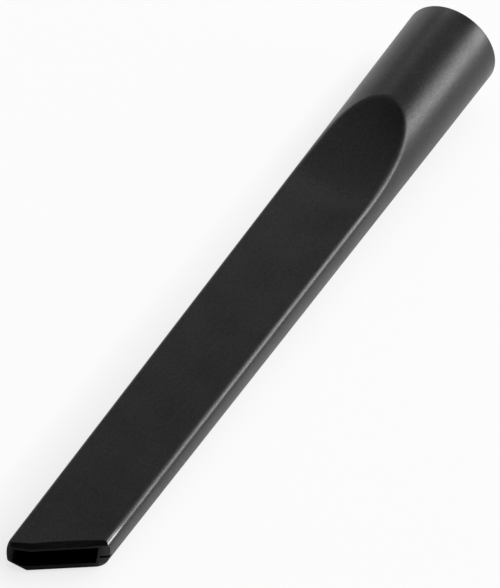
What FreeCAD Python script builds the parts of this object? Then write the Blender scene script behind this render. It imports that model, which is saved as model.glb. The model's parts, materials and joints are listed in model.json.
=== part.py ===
import FreeCAD, Part
import os

import Sketcher

# Vacuum crevice tool: a long tapered tube with a round socket at one end, flattened
# above and below into a narrow nozzle and cut off on a slant at the mouth.
# Own frame: X runs along the tube and out of the socket, Y is across, Z is up.
# The origin is the centre of the socket's rim, and the nozzle reaches along -X.

doc = FreeCAD.newDocument("crevice_tool")

# Driving sizes, in millimetres and degrees
sheet = doc.addObject("Spreadsheet::Sheet", "Sizes")
SIZES = (
    ("overall_length", 300.0),
    ("socket_outer", 37.0),
    ("socket_bore", 32.0),
    ("socket_depth", 40.0),
    ("stop_step", 0.8),
    ("lead_in", 0.4),
    ("rim_round", 0.8),
    ("collar_length", 53.3),
    ("scoop_radius", 108.5),
    ("flat_draft", 0.53),
    ("mouth_width", 30.5),
    ("mouth_height", 11.1),
    ("opening_width", 23.6),
    ("flat_wall", 2.0),
    ("edge_round", 2.0),
    ("tip_width", 8.5),
    ("tip_angle", 12.5),
    ("slant_angle", 37.0),
    ("tip_extra_round", 0.5),
    ("lip_setback", 2.0),
    ("lip_drop", 1.0),
    ("notch_height", 1.0),
    ("notch_depth", 1.5),
    ("notch_web", 0.8),
    ("notch_drop", 0.5),
    ("overrun", 8.0),
)
for row, (alias, value) in enumerate(SIZES, start=1):
    sheet.set(f"A{row}", alias)
    sheet.set(f"B{row}", str(value))
    sheet.setAlias(f"B{row}", alias)
doc.recompute()

# Distances that several outlines share, and the mouth's outer corner where its slant begins
BEYOND_MOUTH = "-(Sizes.overall_length + Sizes.overrun)"
BEYOND_ROUND = "(Sizes.socket_outer + Sizes.overrun)"
BEYOND_SIDE = "(Sizes.mouth_width / 2 + Sizes.overrun)"
TAPER = "((Sizes.socket_outer - Sizes.mouth_width) / 2 / Sizes.overall_length)"
KINK_X = "(-Sizes.overall_length + Sizes.tip_width * tan(Sizes.tip_angle * 1 deg))"
KINK_Y = "(Sizes.mouth_width / 2 - Sizes.tip_width)"
SLOPE = "tan(Sizes.slant_angle * 1 deg)"
ACROSS = FreeCAD.Vector(0, 1, 0)


def plane(body, role):
    return next(item for item in body.Origin.OriginFeatures if item.Role == role)


def sketch_on(body, name, role):
    sketch = body.newObject("Sketcher::SketchObject", name)
    sketch.AttachmentSupport = [(plane(body, role), "")]
    sketch.MapMode = "FlatFace"
    return sketch


def value_of(sketch, expression):
    return float(sketch.evalExpression(expression))


def vector_of(sketch, x, y):
    return FreeCAD.Vector(value_of(sketch, x), value_of(sketch, y), 0)


def bind(sketch, constraint, expression):
    index = sketch.addConstraint(constraint)
    sketch.setExpression(f"Constraints[{index}]", expression)


def place(sketch, geometry, point, x=None, y=None):
    for kind, axis, expression in (("DistanceX", -2, x), ("DistanceY", -1, y)):
        if expression == "0":
            sketch.addConstraint(Sketcher.Constraint("PointOnObject", geometry, point, axis))
        elif expression:
            start = value_of(sketch, expression)
            bind(sketch, Sketcher.Constraint(kind, -1, 1, geometry, point, start), expression)


def closed_outline(sketch, corners):
    points = [vector_of(sketch, x, y) for x, y in corners]
    count = len(points)
    for index in range(count):
        sketch.addGeometry(Part.LineSegment(points[index], points[(index + 1) % count]))
    for index, (x, y) in enumerate(corners):
        previous = (index - 1) % count
        sketch.addConstraint(Sketcher.Constraint("Coincident", previous, 2, index, 1))
        place(sketch, index, 1, x, y)


def turned(body, name, corners):
    sketch = sketch_on(body, f"{name}_outline", "XZ_Plane")
    closed_outline(sketch, corners)
    solid = body.newObject("PartDesign::Revolution", name)
    solid.Profile = sketch
    solid.ReferenceAxis = (sketch, ["H_Axis"])
    doc.recompute()
    return solid


def cut(body, name, sketch, length=None):
    before = body.Shape.Volume
    pocket = body.newObject("PartDesign::Pocket", name)
    pocket.Profile = sketch
    pocket.SideType = "Symmetric"
    pocket.Type = "Length" if length else "ThroughAll"
    if length:
        pocket.setExpression("Length", length)
    doc.recompute()
    if body.Shape.Volume >= before:
        raise RuntimeError(f"{name} removed nothing")
    return pocket


# Side view of one flat: a straight face with a little draft that turns up, in an arc
# tangent to it, and leaves the round tube at the end of the collar. The duct's outline
# lies one wall inside the same line and arc.
def flat_and_scoop(sketch, wall=None):
    guide = wall is not None
    radius = value_of(sketch, "Sizes.scoop_radius")
    apex_x = "-Sizes.collar_length"
    apex_z = f"(Sizes.socket_outer / 2 - Sizes.collar_length * {TAPER})"
    arc_end_x = "-(Sizes.collar_length - Sizes.overrun)"
    start_z = "(Sizes.mouth_height / 2 - Sizes.overrun * tan(Sizes.flat_draft * 1 deg))"
    start = vector_of(sketch, BEYOND_MOUTH, start_z)
    apex = vector_of(sketch, apex_x, apex_z)
    rise = apex.y - start.y
    turn = FreeCAD.Vector(apex.x - (2 * radius * rise) ** 0.5, start.y, 0)
    centre = FreeCAD.Vector(turn.x, turn.y + radius, 0)

    def line_and_arc(offset, construction):
        size = radius + offset
        low = FreeCAD.Vector(turn.x, turn.y - offset, 0)
        end_x = value_of(sketch, arc_end_x)
        end = FreeCAD.Vector(end_x, centre.y - (size ** 2 - (end_x - centre.x) ** 2) ** 0.5, 0)
        begin = FreeCAD.Vector(start.x, start.y - offset, 0)
        circle = Part.Circle(centre, FreeCAD.Vector(0, 0, 1), size)
        line = sketch.addGeometry(Part.LineSegment(begin, low), construction)
        span = (circle.parameter(low), circle.parameter(end))
        arc = sketch.addGeometry(Part.ArcOfCircle(circle, *span), construction)
        sketch.addConstraint(Sketcher.Constraint("Tangent", line, 2, arc, 1))
        place(sketch, line, 1, x=BEYOND_MOUTH)
        place(sketch, arc, 2, x=arc_end_x)
        return line, arc

    line, arc = line_and_arc(0, guide)
    draft = "Sizes.flat_draft * 1 deg"
    draft_start = value_of(sketch, "Sizes.flat_draft * pi / 180")
    bind(sketch, Sketcher.Constraint("Angle", line, draft_start), draft)
    place(sketch, line, 1, y=start_z)
    bind(sketch, Sketcher.Constraint("Radius", arc, radius), "Sizes.scoop_radius")
    point = sketch.addGeometry(Part.Point(apex), True)
    place(sketch, point, 1, apex_x, apex_z)
    sketch.addConstraint(Sketcher.Constraint("PointOnObject", point, 1, arc))
    if guide:
        inner_line, inner_arc = line_and_arc(value_of(sketch, wall), False)
        sketch.addConstraint(Sketcher.Constraint("Coincident", inner_arc, 3, arc, 3))
        sketch.addConstraint(Sketcher.Constraint("Parallel", inner_line, line))
        inner_start = radius + value_of(sketch, wall)
        bind(sketch, Sketcher.Constraint("Radius", inner_arc, inner_start), f"Sizes.scoop_radius + {wall}")
        line, arc = inner_line, inner_arc

    top_right = vector_of(sketch, arc_end_x, BEYOND_ROUND)
    top_left = vector_of(sketch, BEYOND_MOUTH, BEYOND_ROUND)
    right = sketch.addGeometry(Part.LineSegment(sketch.Geometry[arc].EndPoint, top_right))
    top = sketch.addGeometry(Part.LineSegment(top_right, top_left))
    left = sketch.addGeometry(Part.LineSegment(top_left, sketch.Geometry[line].StartPoint))
    sketch.addConstraint(Sketcher.Constraint("Coincident", arc, 2, right, 1))
    sketch.addConstraint(Sketcher.Constraint("Coincident", right, 2, top, 1))
    sketch.addConstraint(Sketcher.Constraint("Coincident", top, 2, left, 1))
    sketch.addConstraint(Sketcher.Constraint("Coincident", left, 2, line, 1))
    place(sketch, top, 1, arc_end_x, BEYOND_ROUND)
    place(sketch, top, 2, BEYOND_MOUTH, BEYOND_ROUND)


def mirror(body, name, feature, role):
    before = body.Shape.Volume
    mirrored = body.newObject("PartDesign::Mirrored", name)
    mirrored.Originals = [feature]
    mirrored.MirrorPlane = (plane(body, role), [""])
    body.Tip = mirrored
    doc.recompute()
    if body.Shape.Volume >= before:
        raise RuntimeError(f"{name} removed nothing")


def cut_flats(body, wall=None):
    sketch = sketch_on(body, f"{body.Name}_flat_outline", "XZ_Plane")
    flat_and_scoop(sketch, wall)
    upper = cut(body, f"{body.Name}_upper_flat", sketch)
    mirror(body, f"{body.Name}_lower_flat", upper, "XY_Plane")


# Faces are told apart by their form, so that edges are found again at any size
def main_axis(direction):
    return max("xyz", key=lambda name: abs(getattr(direction, name)))


def is_round(face):
    return isinstance(face.Surface, Part.Cone)


def is_flat_or_scoop(face):
    flat = isinstance(face.Surface, Part.Plane) and main_axis(face.Surface.Axis) == "z"
    scoop = isinstance(face.Surface, Part.Cylinder) and main_axis(face.Surface.Axis) == "y"
    return flat or scoop


def is_upright(face):
    return isinstance(face.Surface, Part.Plane) and main_axis(face.Surface.Axis) != "z"


def is_tip(face):
    beyond_kink = face.CenterOfMass.y > value_of(sheet, KINK_Y)
    return is_upright(face) and beyond_kink


def is_rim(face):
    nearer_rim = face.CenterOfMass.x > -sheet.get("overall_length") / 2
    return is_upright(face) and nearer_rim


def edges_between(shape, first, second):
    names = []
    for index, edge in enumerate(shape.Edges, start=1):
        faces = shape.ancestorsOfType(edge, Part.Face)
        if len(faces) == 2:
            one, other = faces
            if (first(one) and second(other)) or (first(other) and second(one)):
                names.append(f"Edge{index}")
    return names


def rounded(body, name, first, second, radius):
    edges = edges_between(body.Shape, first, second)
    if not edges:
        raise RuntimeError(f"{name} found no edges")
    base = body.Tip
    fillet = body.newObject("PartDesign::Fillet", name)
    fillet.Base = (base, edges)
    fillet.setExpression("Radius", radius)
    doc.recompute()


# Outside of the tool: the tapered tube, its two flats and the slanted mouth
outside = doc.addObject("PartDesign::Body", "outside")
turned(outside, "tube", (
    ("0", "0"),
    ("0", "Sizes.socket_outer / 2"),
    ("-Sizes.overall_length", "Sizes.mouth_width / 2"),
    ("-Sizes.overall_length", "0"),
))
cut_flats(outside)

# The mouth is cut nearly square at the leading tip and slanted over the rest
mouth = sketch_on(outside, "mouth_outline", "XY_Plane")
closed_outline(mouth, (
    ("-Sizes.overall_length - Sizes.overrun * tan(Sizes.tip_angle * 1 deg)", BEYOND_SIDE),
    (KINK_X, KINK_Y),
    (f"{KINK_X} + ({KINK_Y} + {BEYOND_SIDE}) * {SLOPE}", f"-{BEYOND_SIDE}"),
    (BEYOND_MOUTH, f"-{BEYOND_SIDE}"),
    (BEYOND_MOUTH, BEYOND_SIDE),
))
cut(outside, "mouth_cut", mouth)

# The tip's upright corner is rounder than the long edges, whose rounding runs on round it
rounded(outside, "tip_corner", is_tip, is_round, "Sizes.edge_round + Sizes.tip_extra_round")
rounded(outside, "long_edges", is_flat_or_scoop, is_round, "Sizes.edge_round")


# The outer edge of the upper lip is bevelled, along the slant and along the tip
def lip_bevel(name, angle):
    sketch = sketch_on(outside, f"{name}_bevel_outline", "XZ_Plane")
    turn = FreeCAD.Rotation(ACROSS, value_of(sketch, angle))
    sketch.AttachmentOffset = FreeCAD.Placement(FreeCAD.Vector(), turn)
    sketch.setExpression("AttachmentOffset.Base.x", KINK_X)
    sketch.setExpression("AttachmentOffset.Base.z", f"-{KINK_Y}")
    sketch.setExpression("AttachmentOffset.Rotation.Angle", f"{angle} * 1 deg")
    slope = "(Sizes.lip_drop / Sizes.lip_setback)"
    high = f"Sizes.mouth_height / 2 + Sizes.overrun * {slope}"
    low = f"Sizes.mouth_height / 2 - Sizes.lip_drop - Sizes.overrun * {slope}"
    closed_outline(sketch, (
        ("-Sizes.overrun", low),
        ("Sizes.lip_setback + Sizes.overrun", high),
        ("-Sizes.overrun", high),
    ))
    cut(outside, f"{name}_bevel", sketch)


lip_bevel("slant", "Sizes.slant_angle")
lip_bevel("tip", "Sizes.tip_angle")

# A thin notch near mid-height in the end of the trailing side wall, open to the outside
notch = sketch_on(outside, "notch_outline", "XY_Plane")
notch.setExpression("AttachmentOffset.Base.z", "-Sizes.notch_drop")
NOTCH_Y = "(Sizes.opening_width / 2 + Sizes.notch_web)"
closed_outline(notch, (
    (f"{KINK_X} + ({KINK_Y} + {NOTCH_Y}) * {SLOPE} + Sizes.notch_depth", f"-{NOTCH_Y}"),
    (f"{KINK_X} + ({KINK_Y} + {BEYOND_SIDE}) * {SLOPE} + Sizes.notch_depth", f"-{BEYOND_SIDE}"),
    (BEYOND_MOUTH, f"-{BEYOND_SIDE}"),
    (BEYOND_MOUTH, f"-{NOTCH_Y}"),
))
cut(outside, "notch", notch, "Sizes.notch_height")
rounded(outside, "rim_edge", is_rim, is_round, "Sizes.rim_round")

# Inside of the tool: a straight socket with a lead-in and a small stop step, then a duct
# that keeps one wall inside the flats and narrows between straight sides to the mouth
core = doc.addObject("PartDesign::Body", "core")
SEAT = "(Sizes.socket_bore / 2)"
DUCT = f"({SEAT} - Sizes.stop_step)"
turned(core, "duct", (
    ("Sizes.overrun", "0"),
    ("Sizes.overrun", f"{SEAT} + Sizes.lead_in + Sizes.overrun"),
    ("-Sizes.lead_in", SEAT),
    ("-Sizes.socket_depth", SEAT),
    ("-Sizes.socket_depth", DUCT),
    (BEYOND_MOUTH, DUCT),
    (BEYOND_MOUTH, "0"),
))
cut_flats(core, "Sizes.flat_wall")
SIDE_TAPER = f"(({DUCT} - Sizes.opening_width / 2) / (Sizes.overall_length - Sizes.collar_length))"
side = sketch_on(core, "duct_side_outline", "XY_Plane")
closed_outline(side, (
    (BEYOND_MOUTH, f"Sizes.opening_width / 2 - Sizes.overrun * {SIDE_TAPER}"),
    ("-Sizes.collar_length + Sizes.overrun", f"{DUCT} + Sizes.overrun * {SIDE_TAPER}"),
    ("-Sizes.collar_length + Sizes.overrun", BEYOND_ROUND),
    (BEYOND_MOUTH, BEYOND_ROUND),
))
left_side = cut(core, "duct_left_side", side)
mirror(core, "duct_right_side", left_side, "XZ_Plane")

# The moulded nozzle, laid down as it rests: on the socket's rim and on the mouth's lower lip
nozzle = doc.addObject("Part::Cut", "nozzle")
nozzle.Label = "crevice_nozzle"
nozzle.Base = outside
nozzle.Tool = core
nozzle.Placement.Rotation = FreeCAD.Rotation(ACROSS, 0)
REST_TILT = "atan((Sizes.socket_outer - Sizes.mouth_height) / 2 / Sizes.overall_length)"
nozzle.setExpression("Placement.Rotation.Angle", f"-{REST_TILT}")
doc.recompute()

for obj in doc.Objects:
    if "Invalid" in obj.State or "Error" in obj.State:
        raise RuntimeError(f"{obj.Label} failed: {obj.State}")
if nozzle.Shape.isNull() or not nozzle.Shape.isValid() or len(nozzle.Shape.Solids) != 1:
    raise RuntimeError("the nozzle is not one sound solid")

os.makedirs("parts", exist_ok=True)
nozzle.Shape.exportStep(f"parts/{nozzle.Label}.step")
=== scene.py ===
import json
from math import atan2, copysign, cos, hypot, pi, radians, sin, sqrt, tan

import bmesh
import bpy
from mathutils import Matrix, Quaternion, Vector


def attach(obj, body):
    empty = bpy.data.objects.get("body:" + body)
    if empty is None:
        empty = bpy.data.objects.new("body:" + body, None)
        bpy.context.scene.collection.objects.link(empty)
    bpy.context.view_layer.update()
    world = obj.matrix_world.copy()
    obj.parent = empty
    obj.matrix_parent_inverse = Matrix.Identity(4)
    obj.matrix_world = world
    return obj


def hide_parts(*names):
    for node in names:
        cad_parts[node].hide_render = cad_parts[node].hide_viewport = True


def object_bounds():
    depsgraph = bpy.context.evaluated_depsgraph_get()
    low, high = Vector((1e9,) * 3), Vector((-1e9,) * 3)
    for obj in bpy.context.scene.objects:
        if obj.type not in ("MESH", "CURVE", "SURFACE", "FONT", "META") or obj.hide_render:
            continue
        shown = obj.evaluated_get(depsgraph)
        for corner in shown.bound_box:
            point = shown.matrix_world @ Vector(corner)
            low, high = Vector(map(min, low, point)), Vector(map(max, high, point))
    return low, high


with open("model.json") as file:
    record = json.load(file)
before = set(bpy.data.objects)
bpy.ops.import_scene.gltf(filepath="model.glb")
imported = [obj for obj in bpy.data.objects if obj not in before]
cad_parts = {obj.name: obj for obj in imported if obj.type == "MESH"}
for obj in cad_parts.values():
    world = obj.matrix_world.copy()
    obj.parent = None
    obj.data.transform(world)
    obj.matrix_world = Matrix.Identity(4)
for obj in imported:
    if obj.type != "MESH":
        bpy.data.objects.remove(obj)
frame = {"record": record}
cad_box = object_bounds()

# The nozzle is the whole tool: one hollow injection moulding in black plastic. A round socket takes
# the hose end, a scoop above and below flattens the tube into a long nose, and the mouth is cut off
# on a slant. Its outline is drawn in millimetres along the tube, then laid down as the CAD part lies.
MM = 0.001
LENGTH = 300.0
RIM_RADIUS = 18.5
NOSE_RADIUS = 15.25
NOSE_HEIGHT = 11.1
DRAFT = radians(0.53)
COLLAR = 53.3
SCOOP_RADIUS = 108.5
TRAILING_EDGE_ROUND = 3.2
LEADING_EDGE_ROUND = 1.4
ARCH_ROUND = 4.2
CROWN = radians(2.6)
APEX_SOFTNESS = 0.6
WALL = 2.0
SOCKET_RADIUS = 16.0
SOCKET_DEPTH = 40.0
STOP_STEP = 0.8
LEAD_IN = 0.4
RIM_ROUND = 0.5
OPENING_WIDTH = 23.6
SIDES = 360


def between(x, start, end):
    share = (x - start[0]) / (end[0] - start[0])
    return start[1] + share * (end[1] - start[1])


def tube_radius(x):
    return between(x, (0.0, RIM_RADIUS), (-LENGTH, NOSE_RADIUS))


def duct_side(x):
    return between(x, (-COLLAR, SOCKET_RADIUS - STOP_STEP), (-LENGTH, OPENING_WIDTH / 2))


# Side view of a flat, or of the duct's flat one wall inside it: a drafted line, then a tangent arc
def flat_height(x, inset):
    along = Vector((cos(DRAFT), sin(DRAFT)))
    across = Vector((-sin(DRAFT), cos(DRAFT)))
    nose = Vector((-LENGTH, NOSE_HEIGHT / 2))
    apex = Vector((-COLLAR, tube_radius(-COLLAR)))
    rise = (apex - nose).dot(across)
    bend = nose + along * ((apex - nose).dot(along) - sqrt(2 * SCOOP_RADIUS * rise - rise ** 2))
    centre = bend + across * SCOOP_RADIUS
    radius = SCOOP_RADIUS + inset
    if x < centre.x + radius * sin(DRAFT):
        return nose.y + (x - nose.x) * tan(DRAFT) - inset / cos(DRAFT)
    return centre.y - sqrt(max(radius ** 2 - (x - centre.x) ** 2, 0.0))


def lower_of(first, second, softness):
    overlap = max(softness - abs(first - second), 0.0)
    return min(first, second) - overlap ** 2 / (4 * softness)


def limited(share):
    return min(max(share, 0.0), 1.0)


ARCH_START = -COLLAR + 3.0
ARCH_MIDDLE = -65.0
ARCH_END = -102.0


# How far a place is along the nose, 0 up at the arch and 1 where the flats are straight
def along_nose(x):
    share = limited((ARCH_MIDDLE - x) / (ARCH_MIDDLE - ARCH_END))
    return share ** 2 * (3 - 2 * share)


# One ring is a section: a circle cut by two flats with rounded edges, or by flats and straight sides.
# The places between its two knees, angles on either side of a corner, get the closest spacing.
EVEN_KNEES = (radians(27.0), radians(63.0))
CORNER_SPREAD = radians(3.0)


def knees_at(x, own_knees):
    return [even + (own - even) * along_nose(x) for even, own in zip(EVEN_KNEES, own_knees)]


def round_ring(x, radius):
    return x, lambda angle, above, leading: radius, EVEN_KNEES


def outer_ring(x):
    radius = tube_radius(x)
    height = lower_of(flat_height(x, 0.0), radius, APEX_SOFTNESS)
    if height >= radius:
        return round_ring(x, radius)

    def corner(edge_round):
        edge = ARCH_ROUND + (edge_round - ARCH_ROUND) * along_nose(x)
        return edge, sqrt((radius - edge) ** 2 - (height - edge) ** 2), height - edge

    leading_corner = corner(LEADING_EDGE_ROUND)
    trailing_corner = corner(TRAILING_EDGE_ROUND)

    def reach(angle, above, leading):
        edge, corner_side, corner_up = leading_corner if leading else trailing_corner
        tilt = CROWN if above else 0.0
        join_side = corner_side + edge * sin(tilt)
        join_up = corner_up + edge * cos(tilt)
        if angle >= atan2(join_up, join_side):
            bend = tan(tilt) / join_side
            top = join_up + join_side ** 2 * bend / 2
            return 2 * top / (sin(angle) + sqrt(sin(angle) ** 2 + 2 * cos(angle) ** 2 * top * bend))
        if angle <= atan2(corner_up, corner_side):
            return radius
        ahead = cos(angle) * corner_side + sin(angle) * corner_up
        return ahead + sqrt(edge ** 2 - corner_side ** 2 - corner_up ** 2 + ahead ** 2)

    side, up = trailing_corner[1:]
    return x, reach, knees_at(x, (atan2(up, side), atan2(height, side)))


def duct_ring(x):
    height = flat_height(x, WALL)
    side = duct_side(x)
    corner = atan2(height, side)

    def reach(angle, above, leading):
        if angle >= corner:
            return min(SOCKET_RADIUS - STOP_STEP, height / sin(angle))
        return min(SOCKET_RADIUS - STOP_STEP, side / cos(angle))

    return x, reach, knees_at(x, (corner - CORNER_SPREAD, corner + CORNER_SPREAD))


def spaced(angle, knees):
    stops = (0.0, *EVEN_KNEES, pi / 2)
    values = (0.0, *knees, pi / 2)
    part = sum(angle > stop for stop in stops[1:3])
    return between(angle, (stops[part], values[part]), (stops[part + 1], values[part + 1]))


def steps(start, end, count):
    return [start + (end - start) * index / count for index in range(count + 1)]


# The rings run up the duct and the socket, over the rim, and back along the outside past the mouth
BEYOND_MOUTH = -LENGTH - 4.0
MOUTH_START = -LENGTH + 30.0
TIP_START = -LENGTH + 6.0
rings = [duct_ring(x) for x in steps(BEYOND_MOUTH, ARCH_END, count=8)]
rings += [duct_ring(x) for x in steps(ARCH_END, -SOCKET_DEPTH, count=40)[1:]]
rings += [round_ring(x, SOCKET_RADIUS) for x in steps(-SOCKET_DEPTH, -LEAD_IN, count=4)]
rings += [round_ring(0.0, SOCKET_RADIUS + LEAD_IN)]
for rim_turn in steps(0.0, pi / 2, count=8):
    x = -RIM_ROUND * (1 - cos(rim_turn))
    rings.append(round_ring(x, tube_radius(x) - RIM_ROUND * (1 - sin(rim_turn))))
rings += [outer_ring(x) for x in steps(-RIM_ROUND, ARCH_START, count=6)[1:]]
rings += [outer_ring(x) for x in steps(ARCH_START, ARCH_END, count=64)[1:]]
rings += [outer_ring(x) for x in steps(ARCH_END, MOUTH_START, count=10)[1:]]
rings += [outer_ring(x) for x in steps(MOUTH_START, TIP_START, count=6)[1:]]
rings += [outer_ring(x) for x in steps(TIP_START, BEYOND_MOUTH, count=24)[1:]]

shell = bmesh.new()
bmesh.ops.create_circle(shell, segments=SIDES, radius=1.0, matrix=Matrix.Rotation(pi / 2, 4, "Y"))
turn = shell.verts.layers.float.new("turn")
for vert in shell.verts:
    vert[turn] = atan2(vert.co.z, vert.co.y)
edges = shell.edges[:]
verts = shell.verts[:]
for index, (x, reach, knees) in enumerate(rings):
    if index:
        grown = bmesh.ops.extrude_edge_only(shell, edges=edges)["geom"]
        verts = [item for item in grown if isinstance(item, bmesh.types.BMVert)]
        edges = [item for item in grown if isinstance(item, bmesh.types.BMEdge) and item.is_boundary]
    for vert in verts:
        side, up = cos(vert[turn]), sin(vert[turn])
        angle = spaced(atan2(abs(up), abs(side)), knees)
        distance = reach(angle, up > 0, side > 0)
        vert.co = (x, copysign(distance * cos(angle), side), copysign(distance * sin(angle), up))

# Use has rubbed the edges on the trailing side shinier: 1 on their rounding, 0 on all the rest
RUBBED_DEPTH = 0.3
RUBBED_SIDE = 6.0
rubbed = shell.verts.layers.float.new("rubbed")
for vert in shell.verts:
    x, side, up = vert.co
    depth = min(tube_radius(x) - hypot(side, up), flat_height(x, 0.0) - abs(up))
    if depth < WALL / 2:
        vert[rubbed] = limited(-side / RUBBED_SIDE) * limited(depth / RUBBED_DEPTH)

# The leading tip's upright corner is rounded, by drawing the side in towards the axis near the end
LIP_SETBACK = 1.4
LIP_DROP = 1.0
KINK = Vector((-297.5, 6.3, NOSE_HEIGHT / 2 - LIP_DROP))
TIP_ANGLE = radians(23.6)
TIP_ROUND = 2.5
TIP_BLEND = 4
DUCT_MARGIN = 0.1
tip_side = NOSE_RADIUS - TIP_ROUND
tip_centre = KINK.x - (tip_side - KINK.y) * tan(TIP_ANGLE) + TIP_ROUND / cos(TIP_ANGLE)
for vert in shell.verts:
    x, side, up = vert.co
    past = min(tip_centre - x, TIP_ROUND)
    outside = side > duct_side(x) + DUCT_MARGIN or abs(up) > flat_height(x, WALL) + DUCT_MARGIN
    if past > 0 and side > 0 and outside:
        drawn_in = tube_radius(x) - tip_side - sqrt(TIP_ROUND ** 2 - past ** 2)
        vert.co.y -= drawn_in * (side / NOSE_RADIUS) ** TIP_BLEND

# The mouth: slanted, and leaning back so that the lower lip leads. The leading tip is cut less steeply,
# square across at its foot, and the upper lip is bevelled.
SLANT_ANGLE = radians(37.6)
SLANT_LEAN = radians(5.3)
LOWER_TIP = Vector((-298.7, 0.0, -NOSE_HEIGHT / 2))
LOWER_TIP_LEAN = radians(22.0)
CUT_TOLERANCE = 1e-5


def slice_off(point, normal):
    whole = shell.verts[:] + shell.edges[:] + shell.faces[:]
    made = bmesh.ops.bisect_plane(
        shell, geom=whole, plane_co=point, plane_no=normal, clear_outer=True, dist=CUT_TOLERANCE)
    cut = [item for item in made["geom_cut"] if isinstance(item, bmesh.types.BMEdge)]
    bmesh.ops.triangle_fill(shell, edges=cut, use_beauty=True, use_dissolve=True)


slice_off(KINK, Vector((-1.0, -tan(SLANT_ANGLE), tan(SLANT_LEAN))))
slice_off(KINK, Vector((-1.0, -tan(TIP_ANGLE), tan(SLANT_LEAN))))
slice_off(LOWER_TIP, Vector((-cos(LOWER_TIP_LEAN), 0.0, -sin(LOWER_TIP_LEAN))))
slope = LIP_DROP / LIP_SETBACK
for angle in (TIP_ANGLE, SLANT_ANGLE):
    slice_off(KINK, Vector((-slope * cos(angle), -slope * sin(angle), 1.0)))

socket_axis = Vector(frame["record"]["mounts"][0]["axis"])
rest = Matrix.Rotation(-atan2(socket_axis.z, socket_axis.x), 4, "Y")
bmesh.ops.transform(shell, matrix=rest @ Matrix.Scale(MM, 4), verts=shell.verts[:])
bmesh.ops.recalc_face_normals(shell, faces=shell.faces[:])

nozzle_mesh = bpy.data.meshes.new("crevice_nozzle_skin")
shell.to_mesh(nozzle_mesh)
shell.free()
nozzle = bpy.data.objects.new("crevice_nozzle_skin", nozzle_mesh)
bpy.context.scene.collection.objects.link(nozzle)

# A thin notch in the end of the trailing side wall, cut with a sheared block
NOTCH_WALL = 0.8
NOTCH_DEPTH = 1.5
NOTCH_HEIGHT = 1.0
NOTCH_DROP = 0.9
BLOCK_REACH = 6.0
notch_side = OPENING_WIDTH / 2 + NOTCH_WALL
along_mouth = Vector((BLOCK_REACH * tan(SLANT_ANGLE), -BLOCK_REACH, 0.0))
towards_mouth = Vector((-BLOCK_REACH, 0.0, 0.0))
lean_back = (KINK.z + NOTCH_DROP) * tan(SLANT_LEAN)
notch_end = KINK.x + (KINK.y + notch_side) * tan(SLANT_ANGLE) - lean_back + NOTCH_DEPTH
block_corner = Vector((notch_end, -notch_side, -NOTCH_DROP))
block_form = Matrix((along_mouth, towards_mouth, (0.0, 0.0, NOTCH_HEIGHT))).transposed().to_4x4()
block_form.translation = block_corner + (along_mouth + towards_mouth) / 2
block_bmesh = bmesh.new()
bmesh.ops.create_cube(block_bmesh, size=1.0, matrix=rest @ Matrix.Scale(MM, 4) @ block_form)
bmesh.ops.recalc_face_normals(block_bmesh, faces=block_bmesh.faces[:])
block_mesh = bpy.data.meshes.new("notch_block")
block_bmesh.to_mesh(block_mesh)
block_bmesh.free()
block = bpy.data.objects.new("notch_block", block_mesh)
bpy.context.scene.collection.objects.link(block)
notch = nozzle.modifiers.new("notch", "BOOLEAN")
notch.operation = "DIFFERENCE"
notch.object = block
notched = nozzle.evaluated_get(bpy.context.evaluated_depsgraph_get())
nozzle_mesh = bpy.data.meshes.new_from_object(notched)
nozzle.modifiers.remove(notch)
nozzle.data = nozzle_mesh
bpy.data.objects.remove(block)

SHARP = radians(20.0)
nozzle_mesh.shade_smooth()
nozzle_mesh.set_sharp_from_angle(angle=SHARP)
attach(nozzle, "root")
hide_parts("crevice_nozzle")

# Black polypropylene, moulded in a finely spark-eroded tool: satin, with an even grain that breaks up the
# sheen, faint flow marks that are a little duller or shinier, and rubbed edges that are glossiest near
# the mouth. The real grain is too fine to show, so it is drawn coarser.
BLACK = "#0e0e0f"
REFRACTION = 1.5
GRAIN_MM = 0.8
GRAIN_DEPTH_MM = 0.03
GRAIN_RELIEF = 0.5
DIMMEST_GRAIN = 0.40
BRIGHTEST_GRAIN = 0.60
FLOW_MM = 14.0
SHINIEST_FLOW = 0.34
DULLEST_FLOW = 0.42
NOISE_LOW = 0.3
NOISE_HIGH = 0.7
EDGE_WEAR = 0.2
MOUTH_WEAR = 0.65
MOUTH_WEAR_START_MM = -271.5
MOUTH_WEAR_FULL_MM = -276.5
WORN_ROUGHNESS = 0.15


def colour(code):
    channels = [int(code[place:place + 2], 16) / 255 for place in (1, 3, 5)]
    linear = [c / 12.92 if c <= 0.04045 else ((c + 0.055) / 1.055) ** 2.4 for c in channels]
    return (*linear, 1.0)


def add_node(tree, kind, settings=(), links=()):
    node = tree.nodes.new(kind)
    for name, value in dict(settings).items():
        if isinstance(name, int) or name in node.inputs:
            node.inputs[name].default_value = value
        else:
            setattr(node, name, value)
    for name, source in dict(links).items():
        tree.links.new(source, node.inputs[name])
    return node


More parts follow.
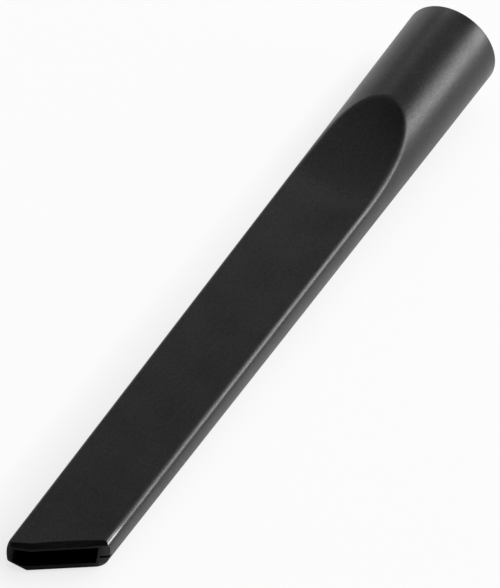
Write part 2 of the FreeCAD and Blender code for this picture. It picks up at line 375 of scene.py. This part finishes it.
plastic = bpy.data.materials.new("black_polypropylene_spark_grain")
plastic.use_nodes = True
tree = plastic.node_tree
place = add_node(tree, "ShaderNodeTexCoord").outputs["Object"]
grain = add_node(tree, "ShaderNodeTexNoise",
                 {"Scale": 1 / (GRAIN_MM * MM), "Detail": 2.0, "Roughness": 0.6}, {"Vector": place})
flow = add_node(tree, "ShaderNodeTexNoise",
                {"Scale": 1 / (FLOW_MM * MM), "Detail": 3.0, "Roughness": 0.5}, {"Vector": place})
sheen = add_node(tree, "ShaderNodeMapRange",
                 {"From Min": NOISE_LOW, "From Max": NOISE_HIGH,
                  "To Min": SHINIEST_FLOW, "To Max": DULLEST_FLOW},
                 {"Value": flow.outputs["Fac"]})
glint = add_node(tree, "ShaderNodeMapRange",
                 {"From Min": NOISE_LOW, "From Max": NOISE_HIGH,
                  "To Min": DIMMEST_GRAIN, "To Max": BRIGHTEST_GRAIN},
                 {"Value": grain.outputs["Fac"]})
lengthwise = add_node(tree, "ShaderNodeSeparateXYZ", {}, {"Vector": place})
wear = add_node(tree, "ShaderNodeMapRange",
                {"From Min": MOUTH_WEAR_START_MM * MM, "From Max": MOUTH_WEAR_FULL_MM * MM,
                 "To Min": EDGE_WEAR, "To Max": MOUTH_WEAR},
                {"Value": lengthwise.outputs["X"]})
rubbed_edges = add_node(tree, "ShaderNodeAttribute", {"attribute_name": "rubbed"})
worn = add_node(tree, "ShaderNodeMath", {"operation": "MULTIPLY"},
                {0: wear.outputs["Result"], 1: rubbed_edges.outputs["Fac"]})
unworn = add_node(tree, "ShaderNodeMath", {"operation": "SUBTRACT", 0: 1.0},
                  {1: worn.outputs["Value"]})
gloss = add_node(tree, "ShaderNodeMapRange", {"From Min": EDGE_WEAR, "From Max": MOUTH_WEAR},
                 {"Value": worn.outputs["Value"]})
finish = add_node(tree, "ShaderNodeMath", {"operation": "MULTIPLY"},
                  {0: sheen.outputs["Result"], 1: unworn.outputs["Value"]})
relief = add_node(tree, "ShaderNodeMath", {"operation": "MULTIPLY", 0: GRAIN_RELIEF},
                  {1: unworn.outputs["Value"]})
bump = add_node(tree, "ShaderNodeBump", {"Distance": GRAIN_DEPTH_MM * MM},
                {"Strength": relief.outputs["Value"], "Height": grain.outputs["Fac"]})
shader = tree.nodes["Principled BSDF"]
shader.inputs["Base Color"].default_value = colour(BLACK)
shader.inputs["IOR"].default_value = REFRACTION
shader.inputs["Coat Roughness"].default_value = WORN_ROUGHNESS
tree.links.new(finish.outputs["Value"], shader.inputs["Roughness"])
tree.links.new(gloss.outputs["Result"], shader.inputs["Coat Weight"])
tree.links.new(glint.outputs["Result"], shader.inputs["Specular IOR Level"])
tree.links.new(bump.outputs["Normal"], shader.inputs["Normal"])
nozzle_mesh.materials.append(plastic)

# The stage: a round white paper cove, a floor that curves up into a low wall, turned from one outline.
# Seen directly or mirrored in the plastic it is plain white, with a painted soft shadow close to the
# tool:
# its glow is darkened by occlusion, not by the lamps. The painted shadow is deeper in its mirror image,
# and there a painted shade also darkens the paper ahead of the mouth.
FLOOR_RADIUS = 3.6
COVE_BEND = 0.4
COVE_HEIGHT = 1.7
COVE_SIDES = 96
BEND_STEPS = 12
MERGE_DISTANCE = 1e-6
PAPER = "#f4f4f4"
PAPER_ROUGHNESS = 0.9
WHITE_SHARE = 0.95
SHADOW_REACH = 0.022
SHADOW_SAMPLES = 4
SHADOW_LEAN = {"X": 0.6, "Y": -0.6, "Z": 0.53}
SEEN_SHADOW = 0.25
MIRRORED_SHADOW = 3.0
# Where and how deep the painted shade on the paper's mirror image ahead of the mouth lies
AHEAD = (-0.940, 0.342, 0.0)
AHEAD_START = 0.2605
AHEAD_FULL = 0.2645
AHEAD_LEVEL = 0.22
floor_level = cad_box[0].z
outline = [(0.0, 0.0), (FLOOR_RADIUS, 0.0)]
for turn_up in steps(0.0, pi / 2, count=BEND_STEPS)[1:]:
    outline.append((FLOOR_RADIUS + COVE_BEND * sin(turn_up), COVE_BEND * (1 - cos(turn_up))))
outline.append((FLOOR_RADIUS + COVE_BEND, COVE_HEIGHT))
cove_bmesh = bmesh.new()
path = [cove_bmesh.verts.new((out, 0.0, floor_level + up)) for out, up in outline]
for first, second in zip(path, path[1:]):
    cove_bmesh.edges.new((first, second))
bmesh.ops.spin(cove_bmesh, geom=cove_bmesh.verts[:] + cove_bmesh.edges[:], axis=(0.0, 0.0, 1.0),
               cent=(0.0, 0.0, 0.0), steps=COVE_SIDES, angle=2 * pi, use_merge=True)
bmesh.ops.remove_doubles(cove_bmesh, verts=cove_bmesh.verts[:], dist=MERGE_DISTANCE)
bmesh.ops.recalc_face_normals(cove_bmesh, faces=cove_bmesh.faces[:])
if sum(face.normal.z for face in cove_bmesh.faces) < 0:
    bmesh.ops.reverse_faces(cove_bmesh, faces=cove_bmesh.faces[:])
cove_mesh = bpy.data.meshes.new("studio_cove")
cove_bmesh.to_mesh(cove_mesh)
cove_bmesh.free()
cove_mesh.shade_smooth()
cove = bpy.data.objects.new("studio_cove", cove_mesh)
bpy.context.scene.collection.objects.link(cove)

paper = bpy.data.materials.new("white_paper")
paper.use_nodes = True
tree = paper.node_tree
sheet = tree.nodes["Principled BSDF"]
sheet.inputs["Base Color"].default_value = colour(PAPER)
sheet.inputs["Roughness"].default_value = PAPER_ROUGHNESS
rays = add_node(tree, "ShaderNodeLightPath").outputs
looked_at = add_node(tree, "ShaderNodeMath", {"operation": "MAXIMUM"},
                     {0: rays["Is Camera Ray"], 1: rays["Is Glossy Ray"]})
seen = add_node(tree, "ShaderNodeMath", {"operation": "MAXIMUM"},
                {0: looked_at.outputs["Value"], 1: rays["Is Transmission Ray"]})
white = add_node(tree, "ShaderNodeMapRange", {"To Max": WHITE_SHARE}, {"Value": seen.outputs["Value"]})
# Painted shadow: occlusion leaning towards the softbox darkens the paper's glow near the tool, more so in
# glossy rays
toward_softbox = add_node(tree, "ShaderNodeCombineXYZ", SHADOW_LEAN)
shadow = add_node(tree, "ShaderNodeAmbientOcclusion",
                  {"Distance": SHADOW_REACH, "samples": SHADOW_SAMPLES},
                  {"Normal": toward_softbox.outputs["Vector"]})
shadow_power = add_node(tree, "ShaderNodeMapRange", {"To Min": SEEN_SHADOW, "To Max": MIRRORED_SHADOW},
                        {"Value": rays["Is Glossy Ray"]})
shaded = add_node(tree, "ShaderNodeMath", {"operation": "POWER"},
                  {0: shadow.outputs["AO"], 1: shadow_power.outputs["Result"]})
# Painted shade: the paper's mirror image is darkened ahead of the mouth, in glossy rays only
spot = add_node(tree, "ShaderNodeTexCoord").outputs["Object"]
ahead = add_node(tree, "ShaderNodeVectorMath", {"operation": "DOT_PRODUCT", 1: AHEAD}, {0: spot})
painted_shade_ahead = add_node(tree, "ShaderNodeMapRange",
                      {"From Min": AHEAD_START, "From Max": AHEAD_FULL,
                       "To Min": 1.0, "To Max": AHEAD_LEVEL},
                      {"Value": ahead.outputs["Value"]})
mirrored_ahead = add_node(tree, "ShaderNodeMath", {"operation": "POWER"},
                          {0: painted_shade_ahead.outputs["Result"], 1: rays["Is Glossy Ray"]})
brightness = add_node(tree, "ShaderNodeMath", {"operation": "MULTIPLY"},
                      {0: shaded.outputs["Value"], 1: mirrored_ahead.outputs["Value"]})
glow = add_node(tree, "ShaderNodeEmission", {}, {"Strength": brightness.outputs["Value"]})
mixed = add_node(tree, "ShaderNodeMixShader", {}, {
    "Fac": white.outputs["Result"], 1: sheet.outputs["BSDF"], 2: glow.outputs["Emission"]})
tree.links.new(mixed.outputs["Shader"], tree.nodes["Material Output"].inputs["Surface"])
cove_mesh.materials.append(paper)

# Light: a wide softbox low on the right beyond the socket with a weaker one above it, dim panels on the
# left and overhead, and next to nothing from the dark room. Angles are in degrees, lengths in metres.
ROOM_LEVEL = 0.04
LAMP_DISTANCE = 1.7
world = bpy.data.worlds.new("dark_room")
world.use_nodes = True
world.node_tree.nodes["Background"].inputs["Color"].default_value = colour("#ffffff")
world.node_tree.nodes["Background"].inputs["Strength"].default_value = ROOM_LEVEL
bpy.context.scene.world = world
middle = (cad_box[0] + cad_box[1]) / 2


def softbox(name, azimuth, elevation, width, height, radiance):
    lamp = bpy.data.lights.new(name, "AREA")
    lamp.shape = "RECTANGLE"
    lamp.size = width
    lamp.size_y = height
    lamp.energy = radiance * width * height * pi
    holder = bpy.data.objects.new(name, lamp)
    out = cos(radians(elevation))
    toward = Vector((out * cos(radians(azimuth)), out * sin(radians(azimuth)), sin(radians(elevation))))
    holder.location = middle + toward * LAMP_DISTANCE
    holder.rotation_euler = toward.to_track_quat("Z", "Y").to_euler()
    bpy.context.scene.collection.objects.link(holder)


softbox("right_softbox", azimuth=-45.0, elevation=23.0, width=1.35, height=0.52, radiance=8.6)
softbox("right_upper_softbox", azimuth=-45.0, elevation=42.0, width=0.45, height=0.4, radiance=3.8)
softbox("left_panel", azimuth=20.0, elevation=25.0, width=0.7, height=0.6, radiance=2.3)
softbox("left_upper_panel", azimuth=45.0, elevation=42.0, width=0.9, height=0.8, radiance=0.36)
softbox("left_top_panel", azimuth=75.0, elevation=62.0, width=0.9, height=0.8, radiance=0.54)
softbox("top_panel", azimuth=-15.0, elevation=62.0, width=0.9, height=0.8, radiance=0.68)

# The camera looks down on the tool from beyond the mouth, a little to its right and rolled.
CAMERA_PLACE = Vector((-1.30171, -0.45812, 1.27029))
CAMERA_AIM = Vector((-0.15001, 0.00288, -0.00771))
CAMERA_ROLL = radians(9.844)
SENSOR_WIDTH = 36.0
FOCAL_PIXELS = 5000.0
PHOTO_HEIGHT = 588.0
lens = bpy.data.cameras.new("photo_camera")
lens.sensor_width = SENSOR_WIDTH
lens.lens = FOCAL_PIXELS / PHOTO_HEIGHT * SENSOR_WIDTH
camera = bpy.data.objects.new("photo_camera", lens)
camera.location = CAMERA_PLACE
aimed = (CAMERA_AIM - CAMERA_PLACE).to_track_quat("-Z", "Y")
camera.rotation_euler = (aimed @ Quaternion((0.0, 0.0, 1.0), CAMERA_ROLL)).to_euler()
bpy.context.scene.collection.objects.link(camera)
bpy.context.scene.camera = camera
bpy.context.scene.view_settings.view_transform = "Standard"
